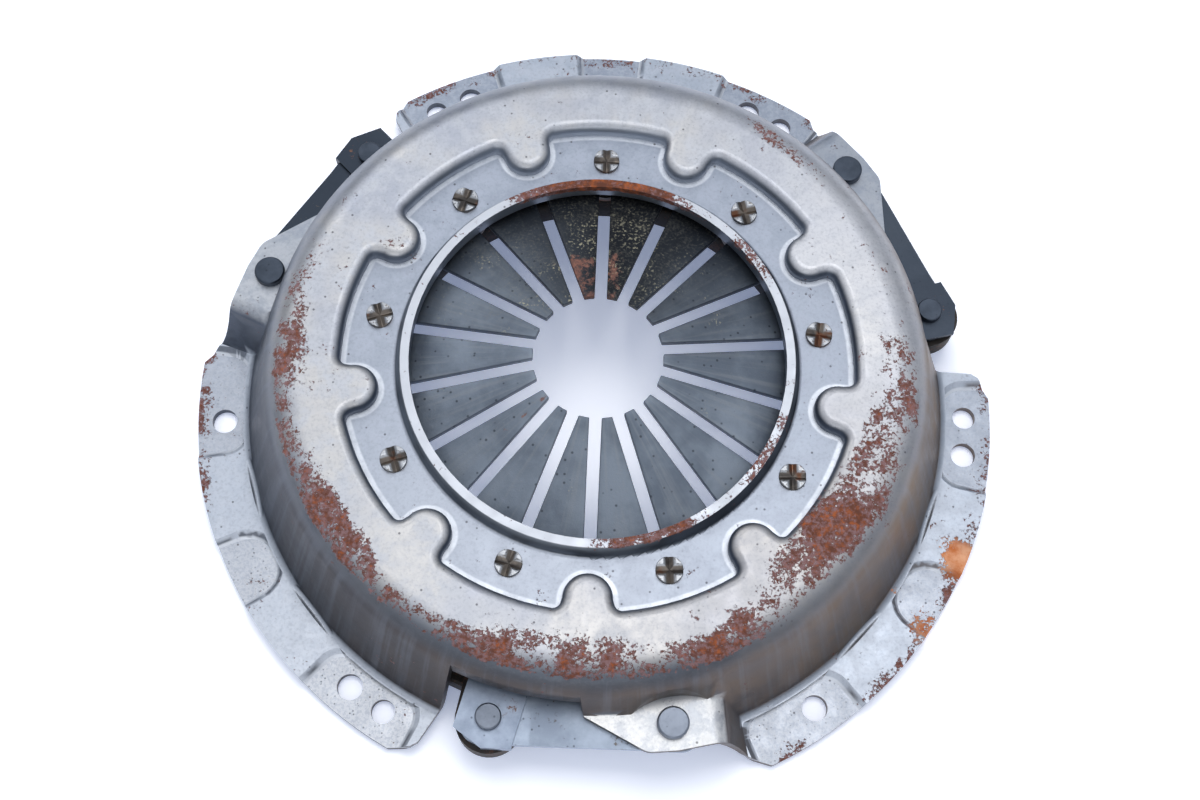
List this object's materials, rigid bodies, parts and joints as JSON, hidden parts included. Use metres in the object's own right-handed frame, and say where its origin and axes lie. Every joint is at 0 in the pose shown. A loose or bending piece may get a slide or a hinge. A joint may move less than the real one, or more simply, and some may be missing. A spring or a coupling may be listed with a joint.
{
  "type": "clutch pressure plate",
  "caption": "Clutch cover assembly: pressed steel cover with a diaphragm spring riveted under it, and a cast pressure plate hung from it on drive straps.",
  "frame": {"origin": "centre of the bolt circle, in the plane where the flange sits on the flywheel", "axes": "+Z along the axis of rotation, from the flywheel towards the gearbox; +X is 45 degrees clockwise of ear rivet 1, seen from the gearbox"},
  "size_m": [0.2816, 0.2692, 0.0463],
  "materials": {
    "cover_steel": "pressed steel sheet, pale blue-grey, with rust blotches",
    "spring_steel": "heat-treated spring steel, dark blue-grey, dusty",
    "strap_steel": "rolled strip, dark blue-grey",
    "wire_steel": "drawn wire",
    "cast_iron": "as cast, with brown rust",
    "rivet_steel": "phosphated, near black",
    "stud_steel": "bare steel, tarnished to bronze grey"
  },
  "bodies": {
    "cover": {"cover": "cover_steel", "upper_fulcrum_ring": "wire_steel", "lower_fulcrum_ring": "wire_steel", "stud_rivet_1": "stud_steel", "stud_rivet_2": "stud_steel", "stud_rivet_3": "stud_steel", "stud_rivet_4": "stud_steel", "stud_rivet_5": "stud_steel", "stud_rivet_6": "stud_steel", "stud_rivet_7": "stud_steel", "stud_rivet_8": "stud_steel", "stud_rivet_9": "stud_steel", "ear_rivet_1": "rivet_steel", "ear_rivet_2": "rivet_steel", "ear_rivet_3": "rivet_steel", "strap_1_top_leaf": "strap_steel", "strap_1_middle_leaf": "strap_steel", "strap_1_bottom_leaf": "strap_steel", "strap_2_top_leaf": "strap_steel", "strap_2_middle_leaf": "strap_steel", "strap_2_bottom_leaf": "strap_steel", "strap_3_top_leaf": "strap_steel", "strap_3_middle_leaf": "strap_steel", "strap_3_bottom_leaf": "strap_steel"},
    "plate": {"pressure_plate": "cast_iron", "lug_rivet_1": "rivet_steel", "lug_rivet_2": "rivet_steel", "lug_rivet_3": "rivet_steel", "retracting_clip_1": "strap_steel", "retracting_clip_2": "strap_steel", "retracting_clip_3": "strap_steel"},
    "spring": {"diaphragm_spring": "spring_steel"}
  },
  "joints": [
    {"name": "plate_lift", "type": "slide", "parent": "cover", "child": "plate", "axis": [0, 0, 1], "range_m": [0, 0.0065], "stiffness_N_per_m": 180000, "deforming": ["strap_1_top_leaf", "strap_1_middle_leaf", "strap_1_bottom_leaf", "strap_2_top_leaf", "strap_2_middle_leaf", "strap_2_bottom_leaf", "strap_3_top_leaf", "strap_3_middle_leaf", "strap_3_bottom_leaf"]},
    {"name": "finger_travel", "type": "slide", "parent": "cover", "child": "spring", "axis": [0, 0, 1], "range_m": [-0.018, 0], "deforming": ["diaphragm_spring"]}
  ],
  "couplings": [
    {"joint": "finger_travel", "follows": "plate_lift", "ratio": -2.7471}
  ]
}
